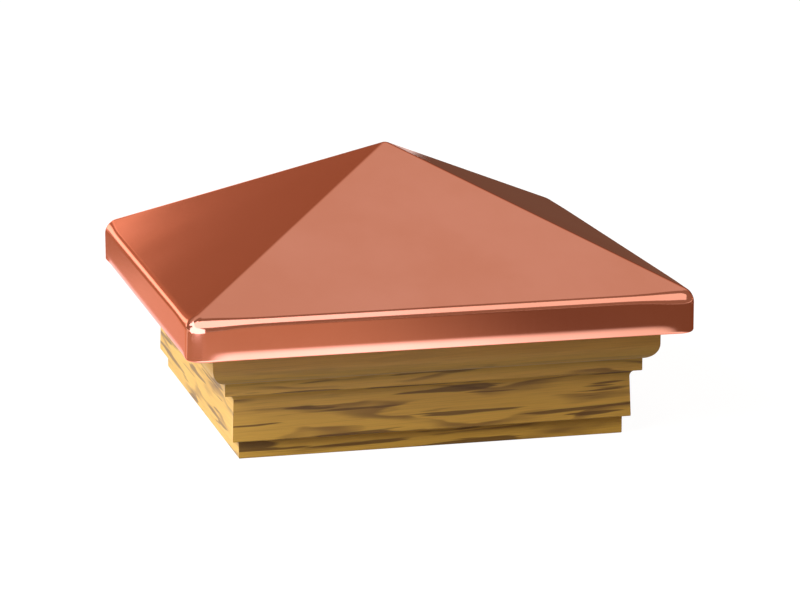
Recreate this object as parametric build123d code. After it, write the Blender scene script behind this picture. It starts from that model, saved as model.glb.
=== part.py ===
from build123d import *
import os
from math import atan2, cos, radians, tan

# Post cap: a pressed copper pyramid on a frame of four mitred timber mouldings.
# A plywood panel lies across the frame and is nailed down to it. The cover goes over the panel,
# and its lower edge is turned in underneath. The post's end goes up inside the frame to the panel.
# Millimetres. The origin is the centre of the frame's foot, +Z is up and -Y is the front.

# Post and frame
post_width = 88.9  # planed timber, four inches nominal
post_clearance = 1.6  # post to frame, each side
moulding_thickness = 19.0

# Moulding profile, from the foot up
lip_height = 5.35
lip_step = 2.05  # lip behind the foot of the fascia
fascia_height = 11.85
fascia_lean = 0.4  # head of the fascia behind its foot
cove_radius = 2.15
fillet_step = 0.75  # fillet beyond the cove's edge
fillet_height = 3.65
ovolo_step = 4.05  # plain band beyond the fillet
ovolo_height = 5.0
head_height = 5.0  # plain band above the ovolo

# Copper cover
sheet = 0.6
overhang = 8.4  # skirt beyond the moulding's outer face
skirt_height = 11.25  # lower edge to where the skirt and the slope would meet
roof_rise = 35.1  # from there to where the four slopes would meet
bend_inner_radius = 2.4  # hips, eaves and apex
corner_ease = 0.3  # the skirt's corners in plan are rounder than the bends by this
curl_angle = 14.0  # degrees that the skirt's foot leans in
curl_height = 2.0  # lower edge to where the lean and the skirt would meet
curl_radius = 6.0  # between the skirt and the lean
return_width = 3.2  # turned-in lower edge, from the skirt's face
return_inner_radius = 0.2

# Plywood panel
panel_fit = 0.3  # panel to skirt, each side

# Brads, of flat wire
brad_width = 1.25
brad_thickness = 1.05
brad_length = 25.0
brad_point = 1.6
brad_head_width = 2.0
brad_head_height = 0.9
brad_spacing = 60.0

# Plan sizes that follow
half_socket = post_width / 2 + post_clearance
half_frame = half_socket + moulding_thickness
half_cover = half_frame + overhang
fillet_face = half_frame - ovolo_step
fascia_head = fillet_face - fillet_step - cove_radius
fascia_foot = fascia_head + fascia_lean
lip_face = fascia_foot - lip_step
brad_line = (half_socket + lip_face) / 2

# Heights of the moulding that follow
fascia_top = lip_height + fascia_height
cove_top = fascia_top + cove_radius
fillet_top = cove_top + fillet_height
ovolo_top = fillet_top + ovolo_height
moulding_height = ovolo_top + head_height

# Sizes of the cover that follow
bend_radius = bend_inner_radius + sheet
corner_radius = bend_radius + corner_ease
return_radius = return_inner_radius + sheet
cover_foot = moulding_height - sheet
eave = cover_foot + skirt_height
slope = atan2(roof_rise, half_cover)
core_apex = eave + roof_rise - bend_radius / cos(slope)
eave_turn = eave - bend_radius * (1 / cos(slope) - tan(slope))  # where the skirt starts to bend in
panel_top = eave_turn
half_curl = radians(curl_angle) / 2
curl_top = cover_foot + curl_height + curl_radius * tan(half_curl)  # where the skirt starts to curl in

edge_margin = 0.01  # for edges picked by their height

SIDES = ("front", "right", "back", "left")


def turned(shape, side):
    """A front piece turned about Z to the given side."""
    return Rot(0, 0, 90 * SIDES.index(side)) * shape


def sharp_pyramid():
    """The four slopes drawn in by the bend radius and run down to the height of the frame's foot."""
    half_base = core_apex / tan(slope)
    ring = [(x * half_base, y * half_base, 0) for x, y in ((-1, -1), (1, -1), (1, 1), (-1, 1))]
    apex = (0, 0, core_apex)
    slopes = [Face(Wire.make_polygon((a, b, apex))) for a, b in zip(ring, ring[1:] + ring[:1])]
    return Solid(Shell(slopes + [Face(Wire.make_polygon(ring))]))


def closed_form(inset, foot, foot_bend):
    """The cover's outside drawn in by the inset and closed flat at its foot.

    The pyramid is grown to round its hips and apex, and trimmed to the skirt, whose foot leans in. Then
    the eaves, the start of the lean and the edge of the foot are rounded.
    """
    bend = bend_radius - inset
    width = 2 * (half_cover - inset)
    lean_top = cover_foot + curl_height + inset * tan(half_curl)
    plan = Pos(0, 0, lean_top) * RectangleRounded(width, width, corner_radius - inset)
    upper_skirt = extrude(plan, core_apex)
    leaning_foot = extrude(plan, lean_top - foot, dir=(0, 0, -1), taper=curl_angle)
    form = offset(sharp_pyramid(), bend, kind=Kind.ARC) & (upper_skirt + leaning_foot)

    eaves = form.edges().filter_by_position(Axis.Z, eave_turn, eave + bend_radius)
    form = fillet(eaves, bend)
    lean_edges = form.edges().filter_by_position(Axis.Z, lean_top - edge_margin, lean_top + edge_margin)
    form = fillet(lean_edges, curl_radius - inset)
    return fillet(form.faces().sort_by(Axis.Z)[0].edges(), foot_bend)


def copper_cover():
    """One sheet of even thickness between two closed forms, open below inside its turned-in edge."""
    outside = closed_form(0, cover_foot, return_radius)
    inside = closed_form(sheet, moulding_height, return_inner_radius)
    width = 2 * (half_cover - return_width)
    mouth = Pos(0, 0, cover_foot) * RectangleRounded(width, width, corner_radius - return_width)
    return outside - inside - extrude(mouth, 2 * sheet)


def brad():
    """A nail with its head's top at the origin, pointing down."""
    half_outline = [
        (0, 0),
        (brad_head_width / 2, 0),
        (brad_head_width / 2, -brad_head_height),
        (brad_width / 2, -brad_head_height),
        (brad_width / 2, brad_point - brad_length),
        (0, -brad_length),
    ]
    other_half = [(-x, z) for x, z in reversed(half_outline[1:-1])]
    outline = Polygon(*half_outline, *other_half, align=None)
    return extrude(Plane.XZ * outline, brad_thickness / 2, both=True)


def front_brads():
    """The nails that hold the front moulding, flush with the panel's top."""
    return [Pos(x, -brad_line, panel_top) * brad() for x in (-brad_spacing / 2, brad_spacing / 2)]


def front_moulding():
    """A section drawn as (distance from the axis, height), run across the front and mitred."""
    foot = Polyline(
        (half_socket, 0),
        (lip_face, 0),
        (lip_face, lip_height),
        (fascia_foot, lip_height),
        (fascia_head, fascia_top),
    )
    cove = CenterArc((fascia_head + cove_radius, fascia_top), cove_radius, 90, 90)
    fillet_edge = Polyline(cove @ 0, (fillet_face, cove_top), (fillet_face, fillet_top))
    ovolo = TangentArc((half_frame, ovolo_top), (fillet_face, fillet_top), tangent=(0, -1))
    head = Polyline(ovolo @ 0, (half_frame, moulding_height), (half_socket, moulding_height), foot @ 0)
    section = make_face(Curve() + [foot, cove, fillet_edge, ovolo, head])

    section_plane = Plane(origin=(half_frame, 0, 0), x_dir=(0, -1, 0), z_dir=(-1, 0, 0))
    bar = extrude(section_plane * section, 2 * half_frame)
    between_mitres = Polygon((0, 0), (-half_frame, -half_frame), (half_frame, -half_frame), align=None)
    moulding = bar & extrude(between_mitres, moulding_height)
    for nail in front_brads():
        moulding -= nail
    return moulding


def top_panel(brads):
    """Fills the skirt from the turned-in edge up to where the eaves start to bend.

    Its lower edge is cut back, clear of the curl.
    """
    width = 2 * (half_cover - sheet - panel_fit)
    plan = RectangleRounded(width, width, corner_radius - sheet - panel_fit)
    panel = extrude(Pos(0, 0, moulding_height) * plan, panel_top - moulding_height)
    underside = panel.faces().sort_by(Axis.Z)[0]
    lean_in = curl_height * tan(2 * half_curl)
    panel = chamfer(underside.edges(), lean_in, curl_top - moulding_height, reference=underside)
    for nail in brads:
        panel -= nail
    return panel


def post_cap():
    """Every piece by name."""
    brads = [turned(nail, side) for side in SIDES for nail in front_brads()]
    moulding = front_moulding()
    pieces = {f"{side}_moulding": turned(moulding, side) for side in SIDES}
    pieces["top_panel"] = top_panel(brads)
    pieces["copper_cover"] = copper_cover()
    pieces["panel_brads"] = Compound(children=brads)
    return pieces


os.makedirs("parts", exist_ok=True)
for name, piece in post_cap().items():
    piece.label = name
    export_step(piece, f"parts/{name}.step")
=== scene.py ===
"""Looks of the post cap: a pressed copper pyramid over a frame of four mitred pine mouldings.

The cover and the mouldings are surfaces worked out with numpy, in millimetres, and turned into metres
when they become meshes. The plywood panel and its brads keep their solids. The origin is the centre of
the frame's foot, +Z is up and -Y is the front.
"""

import bmesh
import bpy
import numpy as np
from mathutils import Matrix, Vector


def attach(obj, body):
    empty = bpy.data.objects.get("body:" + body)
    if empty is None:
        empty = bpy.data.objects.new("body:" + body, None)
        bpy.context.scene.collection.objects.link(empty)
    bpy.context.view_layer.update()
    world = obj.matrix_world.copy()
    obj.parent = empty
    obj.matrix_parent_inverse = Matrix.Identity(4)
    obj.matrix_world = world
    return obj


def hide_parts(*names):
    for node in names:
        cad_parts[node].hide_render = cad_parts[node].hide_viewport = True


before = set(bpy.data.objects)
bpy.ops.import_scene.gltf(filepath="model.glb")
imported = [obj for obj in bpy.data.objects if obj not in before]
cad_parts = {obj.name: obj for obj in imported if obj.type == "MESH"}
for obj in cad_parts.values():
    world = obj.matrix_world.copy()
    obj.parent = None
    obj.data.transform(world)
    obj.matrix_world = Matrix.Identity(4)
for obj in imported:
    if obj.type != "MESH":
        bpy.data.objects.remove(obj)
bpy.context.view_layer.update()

MILLIMETRE = 0.001  # in metres

# Copper cover, outside sizes
HALF_COVER = 73.45
COVER_FOOT = 32.4
EAVE = 43.65  # where the skirt and a slope would meet
ROOF_RISE = 35.1  # from there to where the slopes would meet
BEND = 3.0  # hips, eaves and apex
CORNER = 5.0  # skirt's corners in plan
CORNER_SWELL = 1.5  # the pressed bends grow rounder by this towards a corner
SWELL_REACH = 9.0
CURL = np.radians(10.0)  # the skirt's foot leans in
CURL_HEIGHT = 2.0  # lower edge to where the lean and the skirt would meet
CURL_RADIUS = 14.0
CURL_FADE = 4.5  # the lean is lost over this length at a corner
RETURN_BEND = 0.8
RETURN_WIDTH = 3.2  # turned-in edge, from the skirt's face
SHEET = 0.6

# Moulding section
HALF_SOCKET = 46.05
HALF_FRAME = 65.05
MOULDING_HEIGHT = 33.0
LIP_FACE = 56.45
LIP_HEIGHT = 5.35
FASCIA_FOOT = 58.5
FASCIA_HEAD = 58.1
FASCIA_TOP = 17.2
COVE_RADIUS = 2.15
FILLET_FACE = 61.0
FILLET_TOP = 23.0
OVOLO_HEIGHT = 5.0
ARRIS = 0.35  # sanded edge of the timber
MITRE_GAP = 0.05  # each side of a mitre
INNER_EASE = 0.4  # share of the arris in the angle above the lip
EASE_LEAD = 1.3  # flats beside an eased edge start at this share of its ease
BOARD_START = 40.0  # where the front board lies along the grain
BOARD_SPACING = 260.0  # from one board to the next along the grain

SIDES = ("front", "right", "back", "left")

# Columns and rows of the surfaces
STRAIGHT_COLUMNS = 39
BEND_COLUMNS = 11  # each third of a corner
APEX_ROWS = 8
SLOPE_ROWS = 40
EAVE_ROWS = 17
SKIRT_ROWS = 10
MOULDING_ROWS = 49  # along a board
EASE_POINTS = 6  # round an eased edge


# Meshes


def grid_faces(rows, columns):
    """Quads of a grid of points whose last column joins its first."""
    index = np.arange(rows * columns).reshape(rows, columns)
    index = np.hstack([index, index[:, :1]])
    corners = (index[:-1, :-1], index[1:, :-1], index[1:, 1:], index[:-1, 1:])
    return np.stack(corners, axis=-1).reshape(-1, 4)


def mesh_piece(name, points, faces):
    """An object at the origin from points in millimetres and lists of corner numbers, smooth shaded."""
    mesh = bpy.data.meshes.new(name)
    mesh.from_pydata((points * MILLIMETRE).tolist(), [], faces)
    mesh.shade_smooth()
    piece = bpy.data.objects.new(name, mesh)
    bpy.context.scene.collection.objects.link(piece)
    return piece


def close_seams(mesh):
    """Points that fall on each other become one, and faces left with no area go."""
    work = bmesh.new()
    work.from_mesh(mesh)
    bmesh.ops.remove_doubles(work, verts=work.verts, dist=1e-6)
    bmesh.ops.dissolve_degenerate(work, edges=work.edges, dist=1e-7)
    work.to_mesh(mesh)
    work.free()


def unit(vectors):
    """Vectors of length one along the last axis."""
    return vectors / np.linalg.norm(vectors, axis=-1, keepdims=True)


def turn_between(start, end, steps):
    """Directions that turn evenly from start to end along their great circle, a row for each step."""
    share = np.asarray(steps)[:, None, None]
    angle = np.arccos(np.clip((start * end).sum(-1), -1, 1))[None, :, None]
    whole = np.sin(np.maximum(angle, 1e-9))
    turned = np.sin((1 - share) * angle) * start + np.sin(share * angle) * end
    return np.where(angle < 1e-6, start[None], turned / whole)


def eased_steps(count):
    """Steps from 0 to 1 that crowd towards both ends, as the cosine of an even half turn."""
    return (1 - np.cos(np.linspace(0, np.pi, count))) / 2


def arc(centre, radius, start, end, count):
    """Points round a centre at even angles, in degrees."""
    angle = np.radians(np.linspace(start, end, count))[:, None]
    return np.asarray(centre) + radius * np.hstack([np.cos(angle), np.sin(angle)])


# Copper cover


def cover_columns():
    """Columns round the cover: plan points, outward wall directions and roof directions.

    Each side is a straight run and then a corner. The plan is a rounded square, drawn in from the skirt
    by the bend radius. At the middle of a corner the plan point stays on the hip while the roof direction
    turns from one slope to the next.
    """
    slope = np.arctan2(ROOF_RISE, HALF_COVER)
    core_half = HALF_COVER - BEND
    core_corner = CORNER - BEND
    run = core_half - core_corner
    straight = np.zeros(STRAIGHT_COLUMNS)
    third = np.linspace(0, 1, BEND_COLUMNS)
    along = np.concatenate([run * (2 * eased_steps(STRAIGHT_COLUMNS) - 1), np.full(3 * BEND_COLUMNS, run)])
    corner = np.concatenate([straight, third, np.ones(BEND_COLUMNS), 1 + third]) / 4
    hip_share = np.concatenate([straight, np.zeros(BEND_COLUMNS), third, np.ones(BEND_COLUMNS)])
    plans, walls, roofs = [], [], []
    for quarter in range(4):
        facing = np.pi / 2 * (quarter - 1)
        out = np.array([np.cos(facing), np.sin(facing), 0.0])
        side = np.array([-np.sin(facing), np.cos(facing), 0.0])
        angle = np.pi * corner[:, None]
        wall = np.cos(angle) * out + np.sin(angle) * side
        this_slope = np.sin(slope) * out + [0, 0, np.cos(slope)]
        next_slope = np.sin(slope) * side + [0, 0, np.cos(slope)]
        roof = turn_between(this_slope[None], next_slope[None], hip_share)[:, 0]
        plans.append(run * out + along[:, None] * side + core_corner * wall)
        walls.append(wall)
        roofs.append(roof)
    return np.concatenate(plans), np.concatenate(walls), np.concatenate(roofs)


def skirt_section(inset):
    """The skirt below its straight part, as (distance from the axis, height, lean), drawn in by inset.

    An arc curls in, a second arc tangent to the lean turns under, and a flat strip ends the sheet. The
    lean is how far a point has come in, and how far out it goes where the foot stays upright.
    """
    curl_top = COVER_FOOT + CURL_HEIGHT + CURL_RADIUS * np.tan(CURL / 2)
    curl_centre = np.array([HALF_COVER - CURL_RADIUS, curl_top])
    lean = np.array([np.sin(CURL), np.cos(CURL)])
    across = np.array([np.cos(CURL), -np.sin(CURL)])
    turn_start = curl_centre + (CURL_RADIUS - RETURN_BEND) * across
    turn_centre = turn_start - lean * (turn_start[1] - COVER_FOOT - RETURN_BEND) / np.cos(CURL)
    curl_end = -np.degrees(CURL)
    flat_end = np.array([[HALF_COVER - RETURN_WIDTH, COVER_FOOT + inset]])
    curl = arc(curl_centre, CURL_RADIUS - inset, 0, curl_end, 12)
    turn = arc(turn_centre, RETURN_BEND - inset, curl_end, -90, 8)
    upright = HALF_COVER - inset
    lean_in = upright - np.concatenate([curl[:, 0], np.full(len(turn), turn[0, 0]), [upright]])
    return np.hstack([np.concatenate([curl, turn, flat_end]), lean_in[:, None]])


def cover_face(inset):
    """Rows of points from the apex down to the inner edge of the foot, for a face drawn in by inset.

    A point is a point of the sharp core plus the bend radius along a direction that turns from straight
    up, over the slope and round the eave to the skirt. Towards a corner the radius grows by a bell curve
    of the distance from it, and the core gives way so that the slopes and the skirt stay in their planes.
    The skirt is its section carried round the plan, and upright at the corners.
    """
    plan, wall, roof = cover_columns()
    slope = np.arctan2(ROOF_RISE, HALF_COVER)
    up = np.array([0.0, 0.0, 1.0])
    bend = BEND - inset
    apex = up * (EAVE + ROOF_RISE - BEND / np.cos(slope))
    eave = plan + up * (apex[2] - np.tan(slope) * np.abs(plan).max(axis=1, keepdims=True))
    core = apex + eased_steps(SLOPE_ROWS)[:, None, None] * (eave - apex)
    short_of_corner = np.maximum(HALF_COVER - CORNER - np.abs(core[..., :2]), 0)
    from_corner = np.linalg.norm(short_of_corner, axis=-1, keepdims=True)
    swell = CORNER_SWELL * np.exp(-((from_corner / SWELL_REACH) ** 2))
    giving_way = wall + up * (1 - (wall * roof).sum(-1, keepdims=True)) / roof[:, 2:]
    core = core - swell * giving_way
    eave = core[-1]
    eave_bend = bend + swell[-1]
    wall_top = eave + eave_bend * wall
    section = skirt_section(inset)[:, None]
    upright = np.exp(-((from_corner[-1] / CURL_FADE) ** 2))
    reach = section[..., :1] + upright * section[..., 2:] - HALF_COVER + BEND
    skirt = plan + reach * wall + section[..., 1:2] * up
    straight_up = np.broadcast_to(up, wall.shape)
    rows = [
        apex + bend * turn_between(straight_up, roof, np.linspace(0, 1, APEX_ROWS)),
        core + (bend + swell) * roof,
        eave + eave_bend * turn_between(roof, wall, np.linspace(0, 1, EAVE_ROWS)),
        wall_top + eased_steps(SKIRT_ROWS)[:, None, None] * (skirt[0] - wall_top),
        skirt,
    ]
    return np.concatenate(rows)


def copper_cover():
    """The sheet's outside from the apex to the foot's inner edge, then its inside back to the apex."""
    grid = np.concatenate([cover_face(0), cover_face(SHEET)[::-1]])
    rows, columns = grid.shape[:2]
    piece = mesh_piece("cover", grid.reshape(-1, 3), grid_faces(rows, columns).tolist())
    close_seams(piece.data)
    return piece


# Mouldings


def eased(outline, ease):
    """A closed outline with its marked corners rounded.

    A marked corner becomes a quadratic curve between two points at the ease's distance along its sides,
    with one more point just beyond each, so that the flats beside it stay flat.
    """
    before = unit(np.roll(outline, 1, axis=0) - outline)
    after = unit(np.roll(outline, -1, axis=0) - outline)
    reach = ease[:, None, None]
    share = np.linspace(0, 1, EASE_POINTS)[None, :, None]
    start = outline[:, None] + reach * before[:, None]
    end = outline[:, None] + reach * after[:, None]
    curve = (1 - share) ** 2 * start + 2 * share * (1 - share) * outline[:, None] + share**2 * end
    outer = EASE_LEAD * reach
    lead_in = outline[:, None] + outer * before[:, None]
    lead_out = outline[:, None] + outer * after[:, None]
    points = np.concatenate([lead_in, curve, lead_out], axis=1).reshape(-1, 2)
    apart = np.linalg.norm(points - np.roll(points, 1, axis=0), axis=1) > 1e-5
    return points[apart]


def moulding_outline():
    """The section as (distance from the axis, height), anticlockwise from the inner edge of the foot."""
    ovolo_top = FILLET_TOP + OVOLO_HEIGHT
    ovolo_step = HALF_FRAME - FILLET_FACE
    ovolo_radius = (ovolo_step**2 + OVOLO_HEIGHT**2) / (2 * ovolo_step)
    ovolo_turn = np.degrees(2 * np.arctan2(ovolo_step, OVOLO_HEIGHT))
    cove_top = FASCIA_TOP + COVE_RADIUS
    parts = (
        ([(HALF_SOCKET, 0), (LIP_FACE, 0), (LIP_FACE, LIP_HEIGHT), (FASCIA_FOOT, LIP_HEIGHT)], 1),
        (arc((FASCIA_HEAD + COVE_RADIUS, FASCIA_TOP), COVE_RADIUS, 180, 90, 12), 0),
        ([(FILLET_FACE, cove_top)], 1),
        (arc((HALF_FRAME - ovolo_radius, ovolo_top), ovolo_radius, -ovolo_turn, 0, 16), 0),
        ([(HALF_FRAME, MOULDING_HEIGHT), (HALF_SOCKET, MOULDING_HEIGHT)], 1),
    )
    outline = np.concatenate([np.asarray(points, float) for points, _ in parts])
    marks = np.concatenate([np.full(len(points), mark) for points, mark in parts])
    inner_corner = np.isclose(outline[:, 0], LIP_FACE) & np.isclose(outline[:, 1], LIP_HEIGHT)
    ease = ARRIS * marks * np.where(inner_corner, INNER_EASE, 1.0)
    return eased(outline, ease)


def moulding(side):
    """The section carried across one side by shares of its distance from the axis, so the ends are mitres.

    The attribute wood_way holds each point's place in the board, in metres: along the grain, out from
    the axis and up. Each board starts at another place along the grain.
    """
    section = moulding_outline()
    share = np.linspace(-1, 1, MOULDING_ROWS)[:, None]
    along = share * (section[:, 0] - MITRE_GAP)
    out = np.broadcast_to(section[:, 0], along.shape)
    height = np.broadcast_to(section[:, 1], along.shape)
    board = np.stack([along, out, height], axis=-1)
    rows, columns = along.shape
    quarter = SIDES.index(side)
    facing = np.pi / 2 * (quarter - 1)
    outward = np.array([np.cos(facing), np.sin(facing), 0.0])
    sideways = np.array([-np.sin(facing), np.cos(facing), 0.0])
    grid = along[..., None] * sideways + out[..., None] * outward + height[..., None] * [0, 0, 1]
    ends = np.concatenate([grid[0], grid[-1]])
    faces = grid_faces(rows, columns).tolist()
    first_end = np.arange(columns) + rows * columns
    faces.append(first_end[::-1].tolist())
    faces.append((first_end + columns).tolist())
    piece = mesh_piece(f"{side}_timber", np.concatenate([grid.reshape(-1, 3), ends]), faces)
    board_start = [BOARD_START + BOARD_SPACING * quarter, 0, 0]
    place = np.concatenate([board.reshape(-1, 3), board[0], board[-1]]) + board_start
    wood_way = piece.data.attributes.new("wood_way", "FLOAT_VECTOR", "POINT")
    wood_way.data.foreach_set("vector", (place * MILLIMETRE).ravel())
    return piece


# Shader helpers


def add(tree, kind, sockets=(), **settings):
    """A node with its settings, its sockets set to values or linked to other sockets."""
    made = tree.nodes.new(kind)
    for name, value in settings.items():
        setattr(made, name, value)
    for name, value in dict(sockets).items():
        if isinstance(value, bpy.types.NodeSocket):
            tree.links.new(value, made.inputs[name])
        else:
            made.inputs[name].default_value = value
    return made


def maths(tree, operation, *values):
    """A sum of one, two or three values."""
    return add(tree, "ShaderNodeMath", enumerate(values), operation=operation).outputs[0]


def ramp(tree, value, low, high, to_low=0.0, to_high=1.0):
    """A value carried smoothly from one range to another."""
    sockets = {"Value": value, "From Min": low, "From Max": high, "To Min": to_low, "To Max": to_high}
    return add(tree, "ShaderNodeMapRange", sockets, interpolation_type="SMOOTHSTEP").outputs["Result"]


def blended(tree, share, first, second):
    """Two colours mixed by a share."""
    mix = add(tree, "ShaderNodeMix", data_type="RGBA")
    for socket, value in ((mix.inputs[0], share), (mix.inputs[6], first), (mix.inputs[7], second)):
        if isinstance(value, bpy.types.NodeSocket):
            tree.links.new(value, socket)
        else:
            socket.default_value = value
    return mix.outputs[2]


def stretched(tree, vector, scale):
    """Coordinates scaled by axis."""
    return add(tree, "ShaderNodeMapping", {"Vector": vector, "Scale": scale}).outputs[0]


def noise(tree, vector, scale, detail=2.0, roughness=0.5):
    """A noise value, 0 to 1."""
    sockets = {"Vector": vector, "Scale": scale, "Detail": detail, "Roughness": roughness}
    return add(tree, "ShaderNodeTexNoise", sockets).outputs[0]


def new_group(name, inputs, outputs):
    """An empty shader group with named sockets, as (tree, its inputs, its output node)."""
    tree = bpy.data.node_groups.new(name, "ShaderNodeTree")
    for socket, kind, value in inputs:
        made = tree.interface.new_socket(socket, in_out="INPUT", socket_type=kind)
        if value is not None:
            made.default_value = value
    for socket, kind in outputs:
        tree.interface.new_socket(socket, in_out="OUTPUT", socket_type=kind)
    return tree, tree.nodes.new("NodeGroupInput").outputs, tree.nodes.new("NodeGroupOutput")


def put_out(tree, out, **sockets):
    """Links sockets to a group's outputs, with _ in a name for a space."""
    for name, socket in sockets.items():
        tree.links.new(socket, out.inputs[name.replace("_", " ")])


def new_material(name, **principled):
    """A material with its Principled shader, whose plain sockets are set by name with _ for a space."""
    material = bpy.data.materials.new(name)
    material.use_nodes = True
    shader = material.node_tree.nodes["Principled BSDF"]
    for socket, value in principled.items():
        shader.inputs[socket.replace("_", " ")].default_value = value
    return material, material.node_tree, shader


def rgb(red, green, blue):
    """A colour with full alpha."""
    return (red, green, blue, 1.0)


# Shader groups


GRAIN_LEAN = 0.02  # grain against the board's length


def wood_figure_group():
    """Growth rings cut by the board's faces, dark resin streaks, and fibres along the grain.

    Ring distance is the distance from the pith, a line near the board and along it, with slow and quick
    waves drawn out along the grain, so that rings close into flames. Its fraction over the ring spacing
    gives pale early wood that darkens to late wood and ends sharply. Streaks are the peaks of a noise
    drawn out along the grain, so they taper at both ends. The figure is faint above a height.
    """
    inputs = (
        ("Wood Way", "NodeSocketVector", None),
        ("Ring Spacing", "NodeSocketFloat", 2.5),
        ("Pith Out", "NodeSocketFloat", 20.0),
        ("Pith Up", "NodeSocketFloat", -12.0),
        ("Wander", "NodeSocketFloat", 11.0),
        ("Faint Above", "NodeSocketFloat", 22.0),
    )
    outputs = (
        ("Late Wood", "NodeSocketFloat"),
        ("Streak", "NodeSocketFloat"),
        ("Fibre", "NodeSocketFloat"),
        ("Cloud", "NodeSocketFloat"),
    )
    tree, given, out = new_group("wood figure", inputs, outputs)
    place = stretched(tree, given["Wood Way"], (1 / MILLIMETRE,) * 3)
    split = add(tree, "ShaderNodeSeparateXYZ", {0: place}).outputs
    across = maths(tree, "SUBTRACT", split[1], given["Pith Out"])
    above = maths(tree, "SUBTRACT", split[2], given["Pith Up"])
    squares = maths(tree, "MULTIPLY_ADD", across, across, maths(tree, "MULTIPLY", above, above))
    distance = maths(tree, "SQRT", squares)
    lean = {"Vector": place, "Rotation": (0, GRAIN_LEAN, 0)}
    leaning = add(tree, "ShaderNodeMapping", lean).outputs[0]
    slow = noise(tree, stretched(tree, leaning, (0.015, 0.09, 0.09)), 1.0, 1.0)
    quick = noise(tree, stretched(tree, leaning, (0.040, 0.28, 0.28)), 1.0, 2.0)
    waves = maths(tree, "MULTIPLY_ADD", quick, 0.2, slow)
    wave = maths(tree, "MULTIPLY", maths(tree, "SUBTRACT", waves, 0.6), given["Wander"])
    rings = maths(tree, "DIVIDE", maths(tree, "ADD", distance, wave), given["Ring Spacing"])
    phase = maths(tree, "FRACT", rings)
    late = maths(tree, "MULTIPLY", ramp(tree, phase, 0.5, 0.88), ramp(tree, phase, 0.92, 1.0, 1.0, 0.0))
    patches = noise(tree, stretched(tree, leaning, (0.03, 0.16, 0.16)), 1.0, 2.0)
    strength = ramp(tree, patches, 0.40, 0.58)
    grain = stretched(tree, leaning, (0.030, 0.5, 0.6))
    streak = ramp(tree, noise(tree, grain, 1.0, 2.0, 0.4), 0.585, 0.64)
    faint_from = maths(tree, "ADD", given["Faint Above"], 4.0)
    shown = ramp(tree, split[2], given["Faint Above"], faint_from, 1.0, 0.15)
    late = maths(tree, "MULTIPLY", maths(tree, "MULTIPLY", late, strength), shown)
    streak = maths(tree, "MULTIPLY", streak, shown)
    fibre = noise(tree, stretched(tree, leaning, (0.05, 3.2, 3.2)), 1.0, 4.0, 0.6)
    cloud = noise(tree, stretched(tree, leaning, (0.02, 0.1, 0.1)), 1.0, 2.0)
    put_out(tree, out, Late_Wood=late, Streak=streak, Fibre=fibre, Cloud=cloud)
    return tree


def metal_surface_group():
    """Slow clouds of tarnish, fine scratches and a faint unevenness, from noise at three scales."""
    inputs = (
        ("Place", "NodeSocketVector", None),
        ("Scratch Stretch", "NodeSocketVector", (1.0, 1.0, 1.0)),
    )
    outputs = (
        ("Cloud", "NodeSocketFloat"),
        ("Scratch", "NodeSocketFloat"),
        ("Dent", "NodeSocketFloat"),
    )
    tree, given, out = new_group("metal surface", inputs, outputs)
    cloud = noise(tree, given["Place"], 28.0, 4.0, 0.55)
    both = {0: given["Place"], 1: given["Scratch Stretch"]}
    drawn = add(tree, "ShaderNodeVectorMath", both, operation="MULTIPLY")
    scratch = noise(tree, drawn.outputs[0], 900.0, 3.0, 0.65)
    dent = noise(tree, given["Place"], 16.0, 1.0, 0.4)
    put_out(tree, out, Cloud=cloud, Scratch=scratch, Dent=dent)
    return tree


def group_node(tree, group, sockets):
    """A group placed in a material, as its outputs."""
    return add(tree, "ShaderNodeGroup", sockets, node_tree=group).outputs


# Materials


def copper_sheet(metal_surface):
    """Satin rolled copper: warm red-orange, with faint clouds of tarnish and lines drawn down the skirt."""
    material, tree, shader = new_material("copper sheet", Metallic=1.0, Specular_Tint=rgb(1.0, 0.54, 0.43))
    place = add(tree, "ShaderNodeTexCoord").outputs["Object"]
    surface = group_node(tree, metal_surface, {"Place": place, "Scratch Stretch": (1.0, 1.0, 0.05)})
    tarnish = ramp(tree, surface["Cloud"], 0.32, 0.72)
    colour = blended(tree, tarnish, rgb(0.81, 0.325, 0.222), rgb(0.77, 0.295, 0.192))
    rough = maths(tree, "MULTIPLY_ADD", surface["Cloud"], 0.06, 0.05)
    rough = maths(tree, "MULTIPLY_ADD", surface["Scratch"], 0.05, rough)
    scratches = maths(tree, "MULTIPLY", surface["Scratch"], 0.006)
    height = maths(tree, "MULTIPLY_ADD", surface["Dent"], 0.5, scratches)
    bump = add(tree, "ShaderNodeBump", {"Height": height, "Strength": 0.35, "Distance": 0.0012})
    tree.links.new(colour, shader.inputs["Base Color"])
    tree.links.new(rough, shader.inputs["Roughness"])
    tree.links.new(bump.outputs["Normal"], shader.inputs["Normal"])
    return material


POCKET_FROM_MIDDLE = 53.5  # to the left along the front board
POCKET_UP = 3.7
POCKET_HALF_LENGTH = 9.0
POCKET_HALF_HEIGHT = 1.5


def pitch_pocket(tree, way):
    """A dark lens of resin at the left end of the front board's lip, one inside it and nought outside."""
    sockets = {
        "Vector": way,
        "Location": (
            (POCKET_FROM_MIDDLE - BOARD_START) / POCKET_HALF_LENGTH, 0, -POCKET_UP / POCKET_HALF_HEIGHT
        ),
        "Scale": (1 / MILLIMETRE / POCKET_HALF_LENGTH, 0, 1 / MILLIMETRE / POCKET_HALF_HEIGHT),
    }
    near = add(tree, "ShaderNodeMapping", sockets).outputs[0]
    distance = add(tree, "ShaderNodeVectorMath", {0: near}, operation="LENGTH").outputs["Value"]
    return ramp(tree, distance, 0.75, 1.05, 1.0, 0.0)


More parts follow.
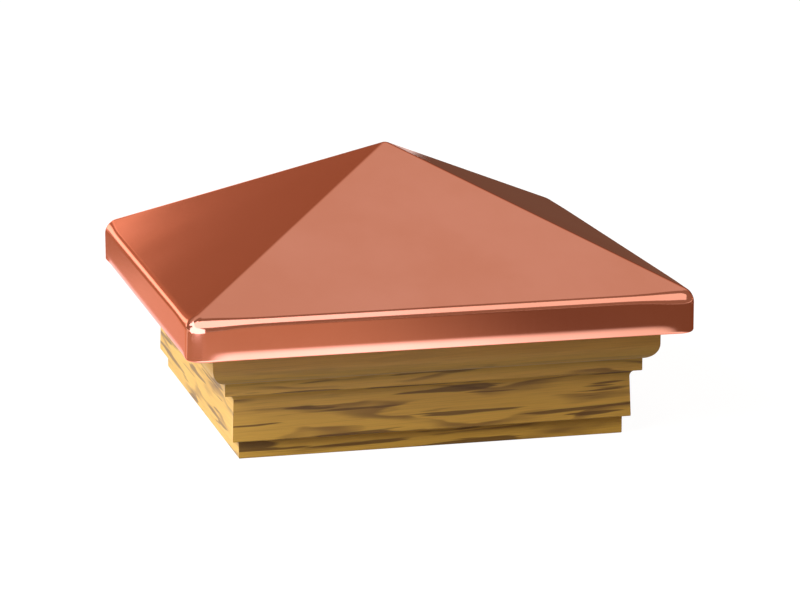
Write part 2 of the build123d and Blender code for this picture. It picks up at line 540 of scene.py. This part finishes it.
def planed_pine(wood_figure):
    """Planed treated pine: honey early wood, brown late wood, fine fibres that catch the light."""
    material, tree, shader = new_material(
        "planed pine", Specular_IOR_Level=0.2, Sheen_Weight=0.4, Sheen_Roughness=0.4
    )
    way = add(tree, "ShaderNodeAttribute", attribute_name="wood_way").outputs["Vector"]
    figure = group_node(tree, wood_figure, {"Wood Way": way})
    dark = maths(tree, "MAXIMUM", figure["Streak"], pitch_pocket(tree, way))
    early = blended(tree, figure["Cloud"], rgb(0.72, 0.43, 0.075), rgb(0.60, 0.345, 0.05))
    ring_share = maths(tree, "MULTIPLY", figure["Late Wood"], 0.75)
    ringed = blended(tree, ring_share, early, rgb(0.16, 0.070, 0.014))
    figured = blended(tree, maths(tree, "MULTIPLY", dark, 0.85), ringed, rgb(0.10, 0.045, 0.007))
    fibre_share = ramp(tree, figure["Fibre"], 0.4, 0.7, 0.0, 0.3)
    fibred = blended(tree, fibre_share, figured, rgb(0.33, 0.17, 0.035))
    rough = maths(tree, "MULTIPLY_ADD", figure["Fibre"], 0.18, 0.5)
    fibres = maths(tree, "MULTIPLY", figure["Fibre"], 0.7)
    height = maths(tree, "MULTIPLY_ADD", figure["Late Wood"], 0.35, fibres)
    bump = add(tree, "ShaderNodeBump", {"Height": height, "Strength": 0.5, "Distance": 0.00012})
    tree.links.new(fibred, shader.inputs["Base Color"])
    tree.links.new(rough, shader.inputs["Roughness"])
    tree.links.new(bump.outputs["Normal"], shader.inputs["Normal"])
    return material


def rotary_plywood(wood_figure):
    """Rotary-cut plywood: wide, soft figure in pale face veneer."""
    material, tree, shader = new_material("rotary plywood", Specular_IOR_Level=0.3)
    place = add(tree, "ShaderNodeTexCoord").outputs["Object"]
    sockets = {
        "Wood Way": place,
        "Ring Spacing": 9.0,
        "Pith Up": -260.0,
        "Wander": 40.0,
        "Faint Above": 1000.0,
    }
    figure = group_node(tree, wood_figure, sockets)
    veneer = blended(tree, figure["Cloud"], rgb(0.60, 0.41, 0.20), rgb(0.50, 0.33, 0.15))
    ring_share = maths(tree, "MULTIPLY", figure["Late Wood"], 0.6)
    figured = blended(tree, ring_share, veneer, rgb(0.27, 0.14, 0.05))
    rough = maths(tree, "MULTIPLY_ADD", figure["Fibre"], 0.2, 0.6)
    bump = add(tree, "ShaderNodeBump", {"Height": figure["Fibre"], "Strength": 0.5, "Distance": 0.00015})
    tree.links.new(figured, shader.inputs["Base Color"])
    tree.links.new(rough, shader.inputs["Roughness"])
    tree.links.new(bump.outputs["Normal"], shader.inputs["Normal"])
    return material


def galvanised_wire(metal_surface):
    """Bright galvanised wire with drawn scratches along its length."""
    material, tree, shader = new_material("galvanised wire", Metallic=1.0)
    place = add(tree, "ShaderNodeTexCoord").outputs["Object"]
    surface = group_node(tree, metal_surface, {"Place": place, "Scratch Stretch": (1.0, 1.0, 0.03)})
    colour = blended(tree, surface["Scratch"], rgb(0.62, 0.62, 0.61), rgb(0.48, 0.48, 0.48))
    rough = maths(tree, "MULTIPLY_ADD", surface["Scratch"], 0.25, 0.25)
    tree.links.new(colour, shader.inputs["Base Color"])
    tree.links.new(rough, shader.inputs["Roughness"])
    return material


# Pieces

wood_figure = wood_figure_group()
metal_surface = metal_surface_group()
pine = planed_pine(wood_figure)

cover = copper_cover()
cover.data.materials.append(copper_sheet(metal_surface))
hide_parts("copper_cover")
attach(cover, "root")

for side in SIDES:
    timber = moulding(side)
    timber.data.materials.append(pine)
    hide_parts(f"{side}_moulding")
    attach(timber, "root")


def dress(node, material):
    """A solid that stays takes a material on all its faces."""
    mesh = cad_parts[node].data
    mesh.materials.clear()
    mesh.materials.append(material)


dress("top_panel", rotary_plywood(wood_figure))
dress("panel_brads", galvanised_wire(metal_surface))


# Floor, lamps and surroundings

FLOOR_FRONT = -1.6
FLOOR_BACK = 1.1
FLOOR_HALF = 1.5
FLOOR_GLOW = 0.96


def flat_sheet(name, corners):
    """A four-sided flat sheet from its corners in metres, in order round it."""
    mesh = bpy.data.meshes.new(name)
    mesh.from_pydata(corners, [], [(0, 1, 2, 3)])
    sheet = bpy.data.objects.new(name, mesh)
    bpy.context.scene.collection.objects.link(sheet)
    return sheet


def seen_or_mirrored(tree):
    """One for rays from the camera, from a reflection or through glass, and nought for the rest."""
    path = add(tree, "ShaderNodeLightPath").outputs
    mirrored = maths(tree, "MAXIMUM", path["Is Glossy Ray"], path["Is Transmission Ray"])
    return maths(tree, "MAXIMUM", path["Is Camera Ray"], mirrored)


def white_floor():
    """Pale floor that is plain white to the camera and in reflections, with the cap's faint shadow."""
    material, tree, shader = new_material(
        "white floor", Base_Color=rgb(0.2, 0.2, 0.2), Roughness=0.9, Specular_IOR_Level=0.0
    )
    shaded = add(tree, "ShaderNodeBsdfDiffuse", {"Color": rgb(0.12, 0.12, 0.12)})
    glow = add(tree, "ShaderNodeEmission", {"Color": rgb(1, 1, 1), "Strength": FLOOR_GLOW})
    white = add(tree, "ShaderNodeAddShader", {0: shaded.outputs[0], 1: glow.outputs[0]})
    shaders = {0: seen_or_mirrored(tree), 1: shader.outputs[0], 2: white.outputs[0]}
    mix = add(tree, "ShaderNodeMixShader", shaders)
    tree.links.new(mix.outputs[0], tree.nodes["Material Output"].inputs["Surface"])
    sheet = flat_sheet(
        "floor",
        [
            (-FLOOR_HALF, FLOOR_FRONT, 0),
            (FLOOR_HALF, FLOOR_FRONT, 0),
            (FLOOR_HALF, FLOOR_BACK, 0),
            (-FLOOR_HALF, FLOOR_BACK, 0),
        ],
    )
    sheet.data.materials.append(material)


def softbox(name, place, aim, size, radiance):
    """An area lamp that faces a point. Its power is radiance times pi times its area."""
    lamp = bpy.data.lights.new(name, "AREA")
    lamp.shape = "RECTANGLE"
    lamp.size, lamp.size_y = size
    lamp.energy = radiance * np.pi * size[0] * size[1]
    box = bpy.data.objects.new(name, lamp)
    box.location = place
    box.rotation_euler = (Vector(aim) - Vector(place)).to_track_quat("-Z", "Y").to_euler()
    bpy.context.scene.collection.objects.link(box)
    box.visible_camera = False
    box.visible_glossy = False


def faded(tree, place, axis, start, end, first, second):
    """A colour that goes from first to second between two places on an axis."""
    along = add(tree, "ShaderNodeSeparateXYZ", {0: place}).outputs[axis]
    return blended(tree, ramp(tree, along, start, end), first, second)


def studio_card(name, corners, colour, fade=None, near=None):
    """A card that only reflections see.

    With fade, as (axis, start, end, second colour), it goes from its colour to the second between two
    places on the axis. With near, as (start, end, first, second), it goes on along Y to another such pair.
    """
    card = flat_sheet(name, corners)
    material = bpy.data.materials.new(name)
    material.use_nodes = True
    tree = material.node_tree
    place = add(tree, "ShaderNodeTexCoord").outputs["Object"]
    shown = rgb(*colour)
    if fade:
        axis, start, end, second = fade
        shown = faded(tree, place, axis, start, end, shown, rgb(*second))
    if near:
        near_start, near_end, near_first, near_second = near
        near_shown = faded(tree, place, axis, start, end, rgb(*near_first), rgb(*near_second))
        shown = faded(tree, place, "Y", near_start, near_end, shown, near_shown)
    glow = add(tree, "ShaderNodeEmission", {"Color": shown})
    tree.links.new(glow.outputs[0], tree.nodes["Material Output"].inputs["Surface"])
    card.data.materials.append(material)
    card.visible_camera = False
    card.visible_diffuse = False
    card.visible_shadow = False
    card.visible_transmission = False


def standing_card(name, foot, head, *look):
    """A studio card from the two ends of its foot to those of its head, each left to right."""
    studio_card(name, [foot[0], foot[1], head[1], head[0]], *look)


def floor_card(name, across, along, height, *look):
    """A studio card that lies just above the floor, over a range of X and a range of Y."""
    foot = [(x, along[0], height) for x in across]
    head = [(x, along[1], height) for x in across]
    standing_card(name, foot, head, *look)


ROOM = (0.36, 0.275, 0.215)
DAYLIGHT = (3.1, 3.3, 4.2)


def surroundings():
    """An even, dim, warm room."""
    world = bpy.data.worlds.new("studio")
    world.use_nodes = True
    world.node_tree.nodes["Background"].inputs["Color"].default_value = rgb(*ROOM)
    bpy.context.scene.world = world


white_floor()
surroundings()
softbox("key from the left", (-1.05, 0.05, 0.60), (0, 0, 0.03), (1.4, 1.0), 6.0)
softbox("front lamp", (-0.22, -0.24, 0.28), (-0.03, -0.06, 0.015), (0.2, 0.2), 6.4)
softbox("back lamp", (0.30, 1.15, 1.30), (0, 0, 0.04), (0.9, 0.9), 1.2)

standing_card(
    "wall behind",
    [(-1.3, 0.95, 0.3), (1.3, 0.95, 0.3)],
    [(-1.3, 0.35, 1.9), (1.3, 0.35, 1.9)],
    ROOM,
    ("Z", 0.40, 1.0, (0.75, 0.71, 0.68)),
)
standing_card(
    "glow behind",
    [(-0.16, 0.9, 0.04), (0.05, 0.9, 0.04)],
    [(-0.16, 0.9, 0.29), (0.05, 0.9, 0.29)],
    (1.3, 1.2, 1.15),
    ("Z", 0.262, 0.275, ROOM),
)
standing_card(
    "strip behind",
    [(-0.8, 0.9, 0.03), (-0.2, 0.9, 0.03)],
    [(-0.8, 0.9, 0.18), (-0.2, 0.9, 0.18)],
    (2.3, 2.4, 2.7),
    ("Z", 0.155, 0.18, (1.1, 0.84, 0.7)),
)
standing_card(
    "dark card behind",
    [(0.10, 0.30, 0.0), (0.60, 0.42, 0.0)],
    [(0.10, 0.30, 0.17), (0.60, 0.42, 0.17)],
    (0.17, 0.10, 0.065),
)
standing_card(
    "card behind on the far left",
    [(-0.8, 0.92, 0.18), (-0.13, 0.92, 0.18)],
    [(-0.8, 0.92, 0.30), (-0.13, 0.92, 0.30)],
    (0.55, 0.42, 0.34),
)
standing_card(
    "window on the left",
    [(-0.9, -0.8, 0.36), (-0.9, 0.4, 0.36)],
    [(-0.82, -0.8, 0.8), (-0.82, 0.4, 0.8)],
    DAYLIGHT,
)
standing_card(
    "reflector at the corner",
    [(-0.21, -0.05, 0.022), (-0.06, -0.20, 0.022)],
    [(-0.21, -0.05, 0.078), (-0.06, -0.20, 0.078)],
    DAYLIGHT,
)
standing_card(
    "front softbox",
    [(-0.7, -0.60, 0.31), (0.75, -0.60, 0.31)],
    [(-0.7, -0.19, 0.62), (0.75, -0.19, 0.62)],
    (2.2, 2.25, 2.6),
    ("X", 0.02, 0.2, (1.3, 1.3, 1.3)),
)
floor_card(
    "floor in front",
    (-0.5, 0.6),
    (-0.9, -0.08),
    0.001,
    (0.66, 0.46, 0.33),
    ("X", -0.01, 0.085, (0.22, 0.13, 0.085)),
    (-0.205, -0.13, (2.3, 2.4, 2.8), (1.3, 1.35, 1.4)),
)
floor_card("dark card at the corner", (-0.6, -0.10), (-0.30, 0.02), 0.002, (0.6, 0.42, 0.3))
floor_card("dark floor on the right", (0.10, 0.6), (-0.9, 0.42), 0.002, (0.23, 0.14, 0.09))
floor_card(
    "card behind on the left",
    (-0.5, -0.089),
    (0.04, 0.7),
    0.001,
    (0.90, 0.79, 0.68),
    ("Y", 0.15, 0.25, (0.52, 0.38, 0.27)),
)
floor_card("white card on the left", (-0.089, -0.075), (-0.08, 0.3), 0.002, (1.5, 1.5, 1.7))


# Camera

CAMERA_AZIMUTH = np.radians(-13.95)
CAMERA_ELEVATION = np.radians(12.67)
CAMERA_ROLL = np.radians(-0.21)
CAMERA_TARGET = (0.0, 0.0, 0.0323)
CAMERA_DISTANCE = 1.012
CAMERA_RIGHT = 0.00435
CAMERA_UP = -0.00191
CAMERA_LENS = 152.15
CAMERA_SENSOR = 36.0


def aim_camera():
    """The camera on a sphere about its target, moved in its own plane and rolled about its own axis."""
    back = Vector(
        (
            np.sin(CAMERA_AZIMUTH) * np.cos(CAMERA_ELEVATION),
            -np.cos(CAMERA_AZIMUTH) * np.cos(CAMERA_ELEVATION),
            np.sin(CAMERA_ELEVATION),
        )
    )
    right = Vector((np.cos(CAMERA_AZIMUTH), np.sin(CAMERA_AZIMUTH), 0.0))
    up = back.cross(right)
    place = Vector(CAMERA_TARGET) + CAMERA_DISTANCE * back + CAMERA_RIGHT * right + CAMERA_UP * up
    rolled_right = np.cos(CAMERA_ROLL) * right + np.sin(CAMERA_ROLL) * up
    rolled_up = np.cos(CAMERA_ROLL) * up - np.sin(CAMERA_ROLL) * right
    lens = bpy.data.cameras.new("camera")
    lens.lens = CAMERA_LENS
    lens.sensor_width = CAMERA_SENSOR
    lens.sensor_fit = "HORIZONTAL"
    lens.clip_start = 0.01
    camera = bpy.data.objects.new("camera", lens)
    bpy.context.scene.collection.objects.link(camera)
    turn = Matrix((rolled_right, rolled_up, back)).transposed().to_4x4()
    camera.matrix_world = Matrix.Translation(place) @ turn
    bpy.context.scene.camera = camera


aim_camera()
bpy.context.scene.view_settings.view_transform = "Standard"
